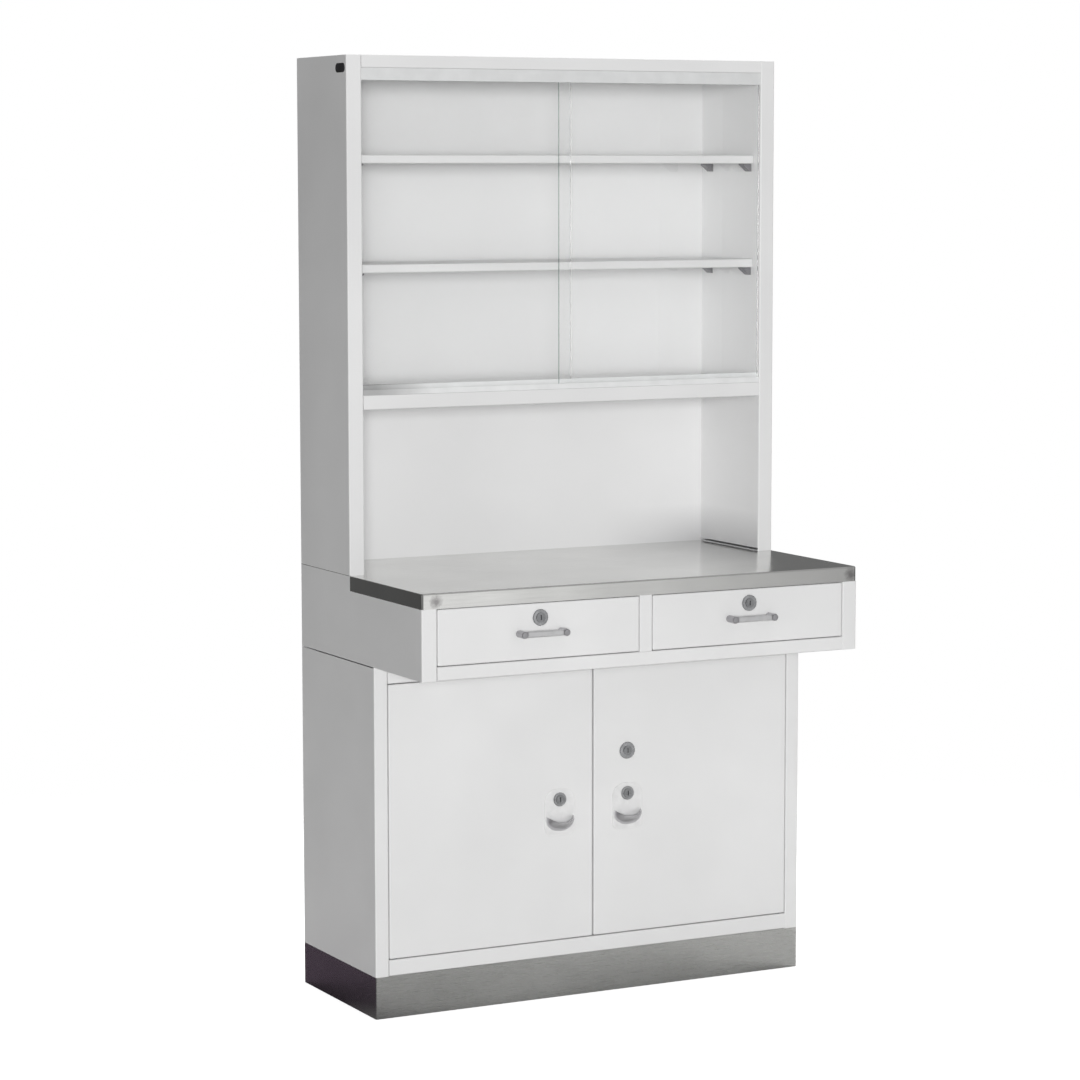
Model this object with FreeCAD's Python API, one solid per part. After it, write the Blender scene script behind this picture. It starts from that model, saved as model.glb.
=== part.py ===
import FreeCAD
import Part
import math
import os

# Medical cabinet of white enamelled sheet steel: a cupboard on a plinth, a drawer unit with a
# stainless worktop that stands out in front of it, and a shallow glazed case over an open niche.
# Millimetres. X runs to the right, the front faces -Y, Z is up, the origin is at the middle of the foot.
# Depths are counted forward from the rearmost face.

# Overall sizes
width = 900.0
height = 1750.0
upper_depth = 225.0
top_depth = 530.0
base_depth = 328.0
worktop_height = 806.0
drawer_unit_foot = 650.0
plinth_height = 78.0
case_floor_top = 1135.0

# Sheet metal
sheet = 1.0
bend = 2.5
rear_flange = 20.0
frame_return = 20.0
frame_lip = 10.0
back_inset = 1.0
slack = 0.001
overrun = 5.0

# Frames round the doors, the drawers and the glass
base_stile = 27.0
base_top_rail = 32.0
base_bottom_rail = 30.0
unit_stile = 30.0
unit_bottom_rail = 25.0
centre_stile = 26.0
upper_stile = 30.0
upper_foot_slit = 4.0
module_seam = 2.0
upper_top_rail = 23.0
case_rail = 27.0
plinth_flange = 16.0
lid_edge = 0.8

# Worktop
worktop_edge = 28.0
worktop_board_thickness = 12.0
worktop_nose = 3.0
worktop_corner = 5.0

# Cupboard doors
door_thickness = 18.0
door_gap = 1.5
door_meeting_gap = 3.0
door_swing_pin_radius = 3.5
pin_from_edge = 12.0
pin_from_face = 7.0
pin_into_door = 12.0
pin_head_radius = 5.0
pin_head_height = 3.0
pin_seat_gap = 0.3
running_gap = 0.05
post_width = 60.0
post_depth = 10.0
cupboard_shelf_share = 0.494
cupboard_shelf_front = 285.0
cupboard_shelf_lip = 20.0
shelf_end_gap = 1.0

# Locks
lock_face_thickness = 3.0
lock_face_round = 1.2
barrel_radius = 9.5
barrel_end_past_nut = 1.0
plug_radius = 8.0
plug_head_radius = 9.0
plug_head_thickness = 1.2
plug_tail_radius = 4.5
keyway_width = 1.8
keyway_height = 9.0
keyway_depth = 4.0
lock_nut_flats = 24.0
lock_nut_thickness = 4.0
cam_thickness = 2.5
cam_width = 14.0
cam_end_radius = 5.0
cam_play = 1.0
cam_screw_radius = 6.5
cam_screw_height = 2.0
hole_gap = 0.3
pull_lock_radius = 13.0
door_lock_radius = 16.0
drawer_lock_radius = 15.0
door_cam_reach = 50.0
drawer_cam_reach = 38.0

# Cup pulls on the cupboard doors
cup_from_meeting_line = 72.0
pull_lock_height = 376.0
door_lock_above_pull_lock = 81.0
cup_below_lock = 38.0
cup_half_width = 29.5
cup_radius = 22.0
cup_wall = 2.0
cup_rim_drop = 3.0
cup_rim_sweep = 45.0
cup_plate_half_width = 31.0
cup_plate_thickness = 1.5
cup_plate_top_margin = 20.0
cup_plate_bottom_margin = 8.0
cup_plate_top_round = 24.0
cup_plate_bottom_round = 12.0

# Drawers
drawer_front_thickness = 18.0
drawer_gap = 1.2
tray_side_inset = 12.0
tray_bottom_gap = 4.0
tray_height = 82.0
tray_back = 40.0
tray_rim_height = 3.0
tray_rim_side_gap = 3.0
tray_rim_front_stop = 7.0
runner_sheet = 1.2
runner_bend = 1.6
runner_seat_gap = 0.3
runner_top_play = 1.2
runner_side_gap = 2.0
runner_front_gap = 2.0
drawer_lock_below_top_rail = 27.0
pull_below_lock = 27.0
pull_centres = 84.0
pull_post_radius = 6.5
pull_post_round = 2.0
pull_bar_thickness = 7.0
pull_bar_setback = 1.5
pull_bar_height = 11.0
pull_bar_round = 2.5
pull_reach = 25.0
pull_screw_radius = 2.0
pull_screw_head_radius = 4.0
pull_screw_head_height = 2.4
pull_screw_grip = 9.0

# Glazed case
upper_shelf_share = 0.7365
lower_shelf_share = 0.4
case_shelf_front = 198.0
case_shelf_back = 4.0
case_shelf_lip = 16.0
case_shelf_return = 8.0
clip_reach = 18.0
clip_height = 15.0
clip_width = 18.0
clip_plate = 2.5
clip_peg_radius = 2.5
clip_peg_length = 8.0
clip_back_place = 36.0
clip_front_place = 182.0
glass_thickness = 5.0
glass_overlap = 30.0
glass_edge_round = 0.8
glass_end_gap = 1.0
groove_count = 2
track_depth = 20.0
track_lip = 1.6
track_web = 1.5
track_setback = 1.0
top_track_height = 22.0
bottom_track_height = 18.0
bottom_track_front_lip = 10.0
glass_foot_gap = 0.3
glass_top_engagement = 9.0

# Oblong plugs in the sides near the top, and the bolts that hold the three modules together
side_plug_length = 42.0
side_plug_height = 17.0
side_plug_rim = 2.0
side_plug_thickness = 3.0
side_plug_depth_place = 198.0
side_plug_below_top = 23.0
hexagon_sides = 6
bolt_radius = 3.0
bolt_flats = 10.0
bolt_head_height = 4.0
module_bolt_place = 300.0
upper_bolt_back = 60.0
upper_bolt_front = 170.0

half_width = width / 2
overall_depth = top_depth + pull_reach
back_y = overall_depth / 2
base_opening_bottom = plinth_height + base_bottom_rail
base_opening_top = drawer_unit_foot - base_top_rail
base_opening_half = half_width - base_stile
cupboard_shelf_top = base_opening_bottom + cupboard_shelf_share * (base_opening_top - base_opening_bottom)
door_lock_height = pull_lock_height + door_lock_above_pull_lock
cup_height = pull_lock_height - cup_below_lock
door_frame_back = base_depth - frame_return
unit_opening_bottom = drawer_unit_foot + unit_bottom_rail
unit_opening_top = worktop_height - worktop_edge
unit_opening_outer = half_width - unit_stile
unit_frame_back = top_depth - frame_return
board_bottom = worktop_height - sheet - worktop_board_thickness
top_rail_front = top_depth - sheet
upper_opening_half = half_width - upper_stile
upper_top_rail_foot = height - upper_top_rail
upper_frame_back = upper_depth - frame_return
glazed_height = upper_top_rail_foot - case_floor_top
shelf_upper_top = case_floor_top + upper_shelf_share * glazed_height
shelf_lower_top = case_floor_top + lower_shelf_share * glazed_height
panel_back = back_inset
panel_front = back_inset + sheet


def vec(x, y, z):
    return FreeCAD.Vector(x, y, z)


def at(depth):
    """Y of a place that lies so far in front of the rearmost face."""
    return back_y - depth


def block(x0, x1, depth0, depth1, z0, z1):
    return Part.makeBox(x1 - x0, depth1 - depth0, z1 - z0, vec(x0, at(depth1), z0))


def rod(x, z, depth0, depth1, radius):
    """Cylinder that runs forward from depth0 to depth1."""
    return Part.makeCylinder(radius, depth1 - depth0, vec(x, at(depth0), z), vec(0, -1, 0))


def upright(x, depth, z0, z1, radius):
    return Part.makeCylinder(radius, z1 - z0, vec(x, at(depth), z0))


def mirrored(shape):
    return shape.mirror(vec(0, 0, 0), vec(1, 0, 0))


def joined(first, *others):
    return first.fuse(list(others)).removeSplitter()


def corner_arc(before, here, after, radius):
    """Start, middle and end of the arc that rounds one corner of an outline."""
    backward = (before - here).normalize()
    forward = (after - here).normalize()
    half_angle = backward.getAngle(forward) / 2
    centre = here + (backward + forward).normalize() * (radius / math.sin(half_angle))
    reach = radius / math.tan(half_angle)
    middle = centre + (here - centre).normalize() * radius
    return here + backward * reach, middle, here + forward * reach


def outline(points, place):
    """Flat face inside (u, v, corner radius) points, put into space by place(u, v)."""
    flat = [vec(u, v, 0) for u, v, radius in points]
    corners = []
    for index, (u, v, radius) in enumerate(points):
        here = flat[index]
        if radius > 0:
            after = flat[(index + 1) % len(flat)]
            corners.append(corner_arc(flat[index - 1], here, after, radius))
        else:
            corners.append((here, None, here))
    edges = []
    for index, (start, middle, end) in enumerate(corners):
        if middle is not None:
            arc = Part.Arc(place(start.x, start.y), place(middle.x, middle.y), place(end.x, end.y))
            edges.append(arc.toShape())
        following = corners[(index + 1) % len(corners)][0]
        if end.distanceToPoint(following) > slack:
            line = Part.LineSegment(place(end.x, end.y), place(following.x, following.y))
            edges.append(line.toShape())
    return Part.Face(Part.Wire(edges))


def in_plan(points, z0, z1):
    """Solid from an outline of x and depth, between two heights."""
    return outline(points, lambda x, depth: vec(x, at(depth), z0)).extrude(vec(0, 0, z1 - z0))


def in_section(points, x0, x1):
    """Solid from an outline of depth and height, between two places across the width."""
    return outline(points, lambda depth, z: vec(x0, at(depth), z)).extrude(vec(x1 - x0, 0, 0))


def in_elevation(points, depth0, depth1):
    """Solid from an outline of x and height, between two depths."""
    face = outline(points, lambda x, z: vec(x, at(depth0), z))
    return face.extrude(vec(0, depth0 - depth1, 0))


def fold(path, wall=sheet, radius=bend):
    """Outline of a bent sheet: path is its outer face, and its thickness lies on the path's left."""
    points = [vec(u, v, 0) for u, v in path]
    ways = [(b - a).normalize() for a, b in zip(points, points[1:])]
    lefts = [vec(-way.y, way.x, 0) for way in ways]
    outer = [(path[0][0], path[0][1], 0)]
    start = points[0] + lefts[0] * wall
    inner = [(start.x, start.y, 0)]
    for index in range(1, len(points) - 1):
        here = points[index]
        spread = lefts[index - 1] + lefts[index]
        inside = here + spread * (wall / (1 + lefts[index - 1].dot(lefts[index])))
        turns_left = ways[index - 1].cross(ways[index]).z > 0
        outer.append((here.x, here.y, radius if turns_left else radius - wall))
        inner.append((inside.x, inside.y, radius - wall if turns_left else radius))
    outer.append((path[-1][0], path[-1][1], 0))
    finish = points[-1] + lefts[-1] * wall
    inner.append((finish.x, finish.y, 0))
    return outer + inner[::-1]


def slot_points(u, v, length, tall):
    """Oblong with round ends about (u, v)."""
    half_length = length / 2
    half_tall = tall / 2
    return [(u - half_length, v - half_tall, half_tall), (u + half_length, v - half_tall, half_tall),
            (u + half_length, v + half_tall, half_tall), (u - half_length, v + half_tall, half_tall)]


def rounded_box(x0, x1, depth0, depth1, z0, z1, radius, keeps_sharp):
    """Box with every edge rounded, except those that keeps_sharp picks by their middle point."""
    box = block(x0, x1, depth0, depth1, z0, z1)
    edges = [edge for edge in box.Edges if not keeps_sharp(edge.BoundBox.Center)]
    return box.makeFillet(radius, edges)


def pan(x0, x1, back, front, z0, z1):
    """Sheet folded back on all four sides, open at its back."""
    def on_back(point):
        return abs(point.y - at(back)) < slack

    def on_void_back(point):
        return abs(point.y - at(back - overrun)) < slack

    outer = rounded_box(x0, x1, back, front, z0, z1, bend, on_back)
    void = rounded_box(x0 + sheet, x1 - sheet, back - overrun, front - sheet,
                       z0 + sheet, z1 - sheet, bend - sheet, on_void_back)
    return outer.cut(void)


def hexagon_points(u, v, flats):
    """Corners of a hexagon about (u, v), flats apart across its sides."""
    step = 2 * math.pi / hexagon_sides
    corner = flats / 2 / math.cos(step / 2)
    angles = [step * side for side in range(hexagon_sides)]
    return [(u + corner * math.cos(angle), v + corner * math.sin(angle), 0) for angle in angles]


def hexagon(x, z, flats, depth0, depth1):
    """Hexagonal prism along the depth."""
    return in_elevation(hexagon_points(x, z, flats), depth0, depth1)


def upright_hexagon(x, depth, flats, z0, z1):
    """Hexagonal prism that stands upright."""
    return in_plan(hexagon_points(x, depth, flats), z0, z1)


# Base cupboard

def plinth_skirt():
    """Stainless ring with a flange turned in at its foot and its head."""
    corner_points = [(-half_width, 0, bend), (half_width, 0, bend),
                     (half_width, base_depth, bend), (-half_width, base_depth, bend)]
    ring = in_plan(corner_points, 0, plinth_height)
    ring = ring.cut(block(sheet - half_width, half_width - sheet, sheet, base_depth - sheet,
                          sheet, plinth_height - sheet))
    return ring.cut(block(plinth_flange - half_width, half_width - plinth_flange,
                          plinth_flange, base_depth - plinth_flange, -overrun, plinth_height + overrun))


def channel_side(depth, stile, z0, z1):
    """Left side in one sheet with a folded front stile and a rear flange."""
    path = [(stile - half_width, depth - frame_return), (stile - half_width, depth),
            (-half_width, depth), (-half_width, 0), (rear_flange - half_width, 0)]
    return in_plan(fold(path), z0, z1)


def base_side():
    """Left side; its wall ends short of the drawer unit, which leaves a fine seam between the two."""
    side = channel_side(base_depth, base_stile, plinth_height, drawer_unit_foot)
    return side.cut(block(-half_width - overrun, sheet - half_width, bend, base_depth - bend,
                          drawer_unit_foot - module_seam, drawer_unit_foot + overrun))


def back_with_head_strip(z0, z1):
    """Back sheet, and the strip along its head that carries what stands above."""
    half = half_width - bend
    back = block(-half, half, panel_back, panel_front, z0, z1)
    strip = block(-half, half, panel_front, panel_front + rear_flange, z1 - sheet, z1)
    return [back, strip]


def base_back():
    back, strip = back_with_head_strip(plinth_height, drawer_unit_foot)
    return [back, strip.cut(module_bolt_holes())]


def notch_front(floor, opening_half, frame_back, z0, z1):
    """Cuts the corners of a floor pan where the folded stiles stand."""
    for x0, x1 in ((-half_width, -opening_half), (opening_half, half_width)):
        floor = floor.cut(block(x0, x1, frame_back - sheet, top_depth + overrun, z0, z1))
    return floor


def base_floor():
    path = [(door_frame_back, plinth_height), (base_depth, plinth_height),
            (base_depth, base_opening_bottom), (panel_front, base_opening_bottom),
            (panel_front, base_opening_bottom - frame_lip)]
    floor = in_section(fold(path), sheet - half_width, half_width - sheet)
    floor = notch_front(floor, base_opening_half, door_frame_back, plinth_height - overrun,
                        base_opening_bottom + overrun)
    for x in (-pin_x(), pin_x()):
        hole = upright(x, pin_depth(), base_opening_bottom - sheet - overrun,
                       base_opening_bottom + overrun, door_swing_pin_radius + running_gap)
        floor = floor.cut(hole)
    return floor


def base_top_rail_piece():
    lip_top = base_opening_top + base_top_rail - frame_lip
    path = [(door_frame_back, lip_top), (door_frame_back, base_opening_top),
            (base_depth, base_opening_top), (base_depth, drawer_unit_foot),
            (door_frame_back, drawer_unit_foot)]
    rail = in_section(fold(path), -base_opening_half, base_opening_half)
    for x in (-pin_x(), pin_x()):
        rail = rail.cut(upright(x, pin_depth(), base_opening_top - overrun,
                                base_opening_top + overrun, door_swing_pin_radius + running_gap))
    return rail.cut(module_bolt_holes())


def door_centre_post():
    """Channel behind the meeting line of the doors, which stop and lock against it."""
    half = post_width / 2
    back = door_frame_back - post_depth
    path = [(half, back), (half, door_frame_back), (-half, door_frame_back), (-half, back)]
    top = base_opening_top + base_top_rail - frame_lip
    return in_plan(fold(path), base_opening_bottom, top)


def base_shelf():
    end = half_width - sheet - shelf_end_gap
    lip_foot = cupboard_shelf_top - cupboard_shelf_lip
    path = [(cupboard_shelf_front - frame_lip, lip_foot), (cupboard_shelf_front, lip_foot),
            (cupboard_shelf_front, cupboard_shelf_top), (panel_front + shelf_end_gap, cupboard_shelf_top),
            (panel_front + shelf_end_gap, lip_foot)]
    return shelf_with_ends(path, end, panel_front + shelf_end_gap, cupboard_shelf_front,
                           lip_foot, cupboard_shelf_top)


def shelf_with_ends(path, end, back, front, foot, top):
    """Shelf tray: front and rear lips from the folded path, plus a lip at each end."""
    shelf = in_section(fold(path), -end, end)
    for x0, x1 in ((-end, sheet - end), (end - sheet, end)):
        shelf = shelf.fuse(block(x0, x1, back + bend, front - bend, foot, top - sheet))
    return shelf.removeSplitter()


# Cupboard doors, the left one first and the right one as its mirror image

def pin_x():
    return base_opening_half - door_gap - pin_from_edge


def pin_depth():
    return base_depth - pin_from_face


def door_bottom():
    return base_opening_bottom + door_gap


def door_top():
    return base_opening_top - door_gap


def hinge_pins():
    """Two collared pins in the floor rail and two plain ones in the top rail."""
    pins = []
    for x in (-pin_x(), pin_x()):
        under_floor = base_opening_bottom - sheet
        lower = joined(
            upright(x, pin_depth(), under_floor, door_bottom() + pin_into_door, door_swing_pin_radius),
            upright(x, pin_depth(), under_floor - pin_head_height, under_floor, pin_head_radius),
            upright(x, pin_depth(), base_opening_bottom, door_bottom() - pin_seat_gap, pin_head_radius))
        over_rail = base_opening_top + sheet
        upper = joined(
            upright(x, pin_depth(), door_top() - pin_into_door, over_rail, door_swing_pin_radius),
            upright(x, pin_depth(), over_rail, over_rail + pin_head_height, pin_head_radius))
        pins += [lower, upper]
    return pins


def left_door_shell(lock_heights):
    outer_x = door_gap - base_opening_half
    inner_x = -door_meeting_gap / 2
    shell = pan(outer_x, inner_x, base_depth - door_thickness, base_depth, door_bottom(), door_top())
    pivot = upright(-pin_x(), pin_depth(), door_bottom() - overrun, door_top() + overrun,
                    door_swing_pin_radius + running_gap)
    shell = shell.cut(pivot)
    for z in lock_heights:
        shell = shell.cut(lock_hole(-cup_from_meeting_line, z, base_depth))
    return shell


def left_door_liner(lock_heights):
    outer_x = door_gap - base_opening_half + sheet
    inner_x = -door_meeting_gap / 2 - sheet
    back = base_depth - door_thickness
    liner = block(outer_x, inner_x, back, back + sheet, door_bottom() + sheet, door_top() - sheet)
    for z in lock_heights:
        liner = liner.cut(lock_hole(-cup_from_meeting_line, z, back + sheet))
    return liner


def lock_hole(x, z, front):
    return rod(x, z, front - sheet - overrun, front + overrun, barrel_radius + hole_gap)


def egg(x, half_length, radius):
    """Egg-shaped solid of revolution about an axis across the door's face."""
    centre = vec(x, at(base_depth), cup_height)
    oval = Part.Ellipse(centre + vec(half_length, 0, 0), centre + vec(0, 0, radius), centre)
    arc = oval.toShape(0, math.pi)
    ends = [vertex.Point for vertex in arc.Vertexes]
    axis_line = Part.LineSegment(ends[1], ends[0]).toShape()
    return Part.Face(Part.Wire([arc, axis_line])).revolve(centre, vec(1, 0, 0), 360)


def cup_pull(x):
    """Cast plate with a finger cup, open at its top, and a seat for the lock above it.

    The cup's rim dips in the middle, so from the front the cup is a crescent with its tips up."""
    face = base_depth + cup_plate_thickness
    top = pull_lock_height + cup_plate_top_margin
    foot = cup_height - cup_radius - cup_plate_bottom_margin
    plate_points = [(x - cup_plate_half_width, foot, cup_plate_bottom_round),
                    (x + cup_plate_half_width, foot, cup_plate_bottom_round),
                    (x + cup_plate_half_width, top, cup_plate_top_round),
                    (x - cup_plate_half_width, top, cup_plate_top_round)]
    plate = in_elevation(plate_points, base_depth, face)
    reach = 2 * cup_radius
    behind = block(x - reach, x + reach, base_depth - reach, base_depth, cup_height - reach,
                   cup_height + reach)
    above_rim = rod(x, cup_height - cup_rim_drop + cup_rim_sweep, base_depth, base_depth + reach,
                    cup_rim_sweep)
    shell = egg(x, cup_half_width, cup_radius).cut(egg(x, cup_half_width - cup_wall, cup_radius - cup_wall))
    cast = plate.fuse(shell.cut(behind).cut(above_rim)).removeSplitter()
    return cast.cut(lock_hole(x, pull_lock_height, face))


# Cam locks

def nut_back(seat):
    return seat - lock_nut_thickness


def barrel_end(seat):
    return nut_back(seat) - barrel_end_past_nut


def lock_case(x, z, face, seat, face_radius):
    """Escutcheon and barrel in one piece, and the nut that clamps it to the sheet."""
    escutcheon = rod(x, z, face, face + lock_face_thickness, face_radius)
    front_edge = [edge for edge in escutcheon.Edges
                  if abs(edge.BoundBox.Center.y - at(face + lock_face_thickness)) < slack]
    escutcheon = escutcheon.makeFillet(lock_face_round, front_edge)
    barrel = rod(x, z, barrel_end(seat), face, barrel_radius)
    bore = rod(x, z, barrel_end(seat) - overrun, face + lock_face_thickness + overrun,
               plug_radius + running_gap)
    nut = hexagon(x, z, lock_nut_flats, nut_back(seat), seat)
    nut = nut.cut(rod(x, z, nut_back(seat) - overrun, seat + overrun, barrel_radius + running_gap))
    return [joined(escutcheon, barrel).cut(bore), nut]


def cam_front(seat, keeper_back):
    return min(barrel_end(seat), keeper_back) - cam_play


def lock_core(x, z, face, seat, keeper_back):
    """Plug with its keyway, and the tail that carries the cam."""
    head_seat = face + lock_face_thickness
    front = head_seat + plug_head_thickness
    tail_end = cam_front(seat, keeper_back) - cam_thickness
    core = joined(rod(x, z, head_seat, front, plug_head_radius),
                  rod(x, z, barrel_end(seat), head_seat, plug_radius),
                  rod(x, z, tail_end, barrel_end(seat), plug_tail_radius))
    keyway = block(x - keyway_width / 2, x + keyway_width / 2, front - keyway_depth, front + overrun,
                   z - keyway_height / 2, z + keyway_height / 2)
    return core.cut(keyway)


def lock_cam(x, z, seat, keeper_back, reach, turn):
    """Cam plate and its end screw; turn is where it points at rest, in degrees above +X."""
    front = cam_front(seat, keeper_back)
    back = front - cam_thickness
    half = cam_width / 2
    plate = in_elevation([(x - half, z - half, cam_end_radius), (x + reach, z - half, cam_end_radius),
                          (x + reach, z + half, cam_end_radius), (x - half, z + half, cam_end_radius)],
                         back, front)
    plate = plate.cut(rod(x, z, back - overrun, front + overrun, plug_tail_radius + running_gap))
    plate.rotate(vec(x, 0, z), vec(0, -1, 0), turn)
    return [plate, rod(x, z, back - cam_screw_height, back, cam_screw_radius)]


def lock_set(x, z, face, seat, keeper_back, face_radius, reach, turn):
    return (lock_case(x, z, face, seat, face_radius),
            lock_core(x, z, face, seat, keeper_back),
            lock_cam(x, z, seat, keeper_back, reach, turn))


# Drawer unit

def drawer_unit_side():
    """Left side: folded like the cupboard's, raised to the worktop under the upper case."""
    side = channel_side(top_depth, unit_stile, drawer_unit_foot, unit_opening_top)
    raised_path = [(-half_width, upper_depth), (-half_width, 0), (rear_flange - half_width, 0)]
    raised = in_plan(fold(raised_path), unit_opening_top, worktop_height - sheet)
    rest = block(sheet - half_width, rear_flange - half_width, upper_depth, top_depth - sheet,
                 unit_opening_top - sheet, unit_opening_top)
    return joined(side, raised, rest)


def drawer_unit_back():
    return back_with_head_strip(drawer_unit_foot, board_bottom)


def drawer_unit_floor():
    path = [(panel_front, drawer_unit_foot + rear_flange), (panel_front, drawer_unit_foot),
            (top_depth, drawer_unit_foot), (top_depth, unit_opening_bottom),
            (unit_frame_back, unit_opening_bottom), (unit_frame_back, unit_opening_bottom - frame_lip)]
    floor = in_section(fold(path), sheet - half_width, half_width - sheet)
    floor = notch_front(floor, unit_opening_outer, unit_frame_back, drawer_unit_foot - overrun,
                        unit_opening_bottom + overrun)
    return floor.cut(module_bolt_holes())


def drawer_unit_top_rail():
    """Channel under the front of the worktop; the drawer locks catch behind its lip."""
    back = top_rail_front - frame_return
    lip_top = unit_opening_top + frame_lip
    path = [(back, lip_top), (back, unit_opening_top), (top_rail_front, unit_opening_top),
            (top_rail_front, board_bottom), (back + sheet + slack, board_bottom)]
    end = half_width - worktop_corner
    return in_section(fold(path), -end, end)


def partition_half():
    return sheet / 2


def drawer_partition():
    """Centre stile between the drawers, with the wall behind it that carries the inner runners."""
    half = centre_stile / 2
    path = [(half, unit_frame_back), (half, top_depth), (-half, top_depth), (-half, unit_frame_back)]
    stile = in_plan(fold(path), unit_opening_bottom, unit_opening_top)
    wall_front = unit_frame_back - sheet
    wall = block(-partition_half(), partition_half(), panel_front + sheet, wall_front,
                 drawer_unit_foot + sheet, board_bottom - sheet)
    tongue = block(-partition_half(), partition_half(), wall_front, top_depth - sheet,
                   unit_opening_bottom, unit_opening_top)
    lip = block(-half, half, wall_front - frame_lip, unit_frame_back, unit_opening_bottom,
                unit_opening_bottom + frame_lip)
    return joined(stile, wall, tongue, lip)


def tray_outer_x():
    return unit_opening_outer - tray_side_inset


def tray_inner_x():
    return centre_stile / 2 + tray_side_inset


def tray_foot():
    return unit_opening_bottom + tray_bottom_gap


def tray_top():
    return tray_foot() + tray_height


def drawer_front_back():
    return top_depth - drawer_front_thickness


def drawer_runners():
    """Channels that hold the rims of both trays: on the two sides and on the partition."""
    lower = tray_top() - tray_rim_height - runner_seat_gap - runner_sheet
    upper = tray_top() + runner_top_play + runner_sheet
    front = unit_frame_back - runner_front_gap
    back = panel_front + sheet
    pieces = []
    for wall_x, tray_x in ((sheet - half_width, -tray_outer_x() - runner_side_gap),
                           (-partition_half(), -tray_inner_x() + runner_side_gap)):
        path = [(tray_x, upper), (wall_x, upper), (wall_x, lower), (tray_x, lower)]
        if wall_x > tray_x:
            path.reverse()
        runner = in_elevation(fold(path, runner_sheet, runner_bend), back, front)
        pieces += [runner, mirrored(runner)]
    return pieces


def drawer_centre():
    return (unit_opening_outer + centre_stile / 2) / 2


def drawer_lock_height():
    return unit_opening_top - drawer_lock_below_top_rail


def pull_screw_places():
    z = drawer_lock_height() - pull_below_lock
    return [(-drawer_centre() - pull_centres / 2, z), (-drawer_centre() + pull_centres / 2, z)]


def left_drawer_front():
    front = pan(drawer_gap - unit_opening_outer, -centre_stile / 2 - drawer_gap, drawer_front_back(),
                top_depth, unit_opening_bottom + drawer_gap, unit_opening_top - drawer_gap)
    front = front.cut(lock_hole(-drawer_centre(), drawer_lock_height(), top_depth))
    for x, z in pull_screw_places():
        front = front.cut(rod(x, z, top_depth - sheet - overrun, top_depth + overrun,
                              pull_screw_radius + hole_gap))
    return front


def left_drawer_tray():
    """Open tray of five welded sheets, with a thick rim outside each side wall for the runners."""
    x0 = -tray_outer_x()
    x1 = -tray_inner_x()
    front = drawer_front_back()
    wall_foot = tray_foot() + sheet
    side_back = tray_back + sheet
    side_front = front - sheet
    floor = block(x0, x1, tray_back, front, tray_foot(), wall_foot)
    back_wall = block(x0, x1, tray_back, side_back, wall_foot, tray_top())
    front_wall = block(x0, x1, side_front, front, wall_foot, tray_top())
    front_wall = front_wall.cut(lock_hole(-drawer_centre(), drawer_lock_height(), front))
    for x, z in pull_screw_places():
        hole = rod(x, z, side_front - overrun, front + overrun, pull_screw_radius + hole_gap)
        front_wall = front_wall.cut(hole)
    outer_wall = block(x0, x0 + sheet, side_back, side_front, wall_foot, tray_top())
    inner_wall = block(x1 - sheet, x1, side_back, side_front, wall_foot, tray_top())
    rim_front = unit_frame_back - tray_rim_front_stop
    rim_foot = tray_top() - tray_rim_height
    rim_width = tray_side_inset - tray_rim_side_gap
    outer_rim = block(x0 - rim_width, x0, side_back, rim_front, rim_foot, tray_top())
    inner_rim = block(x1, x1 + rim_width, side_back, rim_front, rim_foot, tray_top())
    return [floor, back_wall, front_wall, outer_wall, inner_wall, outer_rim, inner_rim]


def left_drawer_pull():
    """Bar pull on two round posts, and the two screws that hold it from inside the drawer."""
    z = drawer_lock_height() - pull_below_lock
    front = top_depth + pull_reach
    bar_front = front - pull_bar_setback
    half = pull_centres / 2
    centre = -drawer_centre()

    def in_a_post(point):
        return abs(point.x - centre) > half - slack

    grip = rounded_box(centre - half, centre + half, bar_front - pull_bar_thickness, bar_front,
                       z - pull_bar_height / 2, z + pull_bar_height / 2, pull_bar_round, in_a_post)
    seat = drawer_front_back() - sheet
    tip = top_depth + pull_screw_grip
    screws = []
    for x, screw_height in pull_screw_places():
        post = rod(x, screw_height, top_depth, front, pull_post_radius)
        rim = [edge for edge in post.Edges if abs(edge.BoundBox.Center.y - at(front)) < slack]
        grip = grip.fuse(post.makeFillet(pull_post_round, rim))
        shank = rod(x, screw_height, seat, tip, pull_screw_radius)
        head = rod(x, screw_height, seat - pull_screw_head_height, seat, pull_screw_head_radius)
        screws.append(joined(shank, head))
    grip = grip.removeSplitter()
    for x, screw_height in pull_screw_places():
        grip = grip.cut(rod(x, screw_height, top_depth - overrun, tip, pull_screw_radius + running_gap))
    return [grip] + screws


# Worktop

def worktop_skin():
    """Stainless sheet: turned down at the front and at both sides forward of the upper case."""
    underside = worktop_height - worktop_edge

    def over(points_radius, inset, z0, z1, nose):
        x = half_width - inset
        front = top_depth - inset
        plate = in_plan([(-x, upper_depth, 0), (x, upper_depth, 0), (x, front, points_radius),
                         (-x, front, points_radius)], z0, z1)
        rim = [edge for edge in plate.Edges
               if abs(edge.BoundBox.Center.z - z1) < slack
               and abs(edge.BoundBox.Center.y - at(upper_depth)) > slack]
        return plate.makeFillet(nose, rim)

    outer = over(worktop_corner, 0, underside, worktop_height, worktop_nose)
    inner = over(worktop_corner - sheet, sheet, underside - overrun, worktop_height - sheet,
                 worktop_nose - sheet)
    rear = block(-half_width, half_width, panel_front, upper_depth, worktop_height - sheet, worktop_height)
    return joined(outer.cut(inner), rear).cut(upper_bolt_holes())


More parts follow.
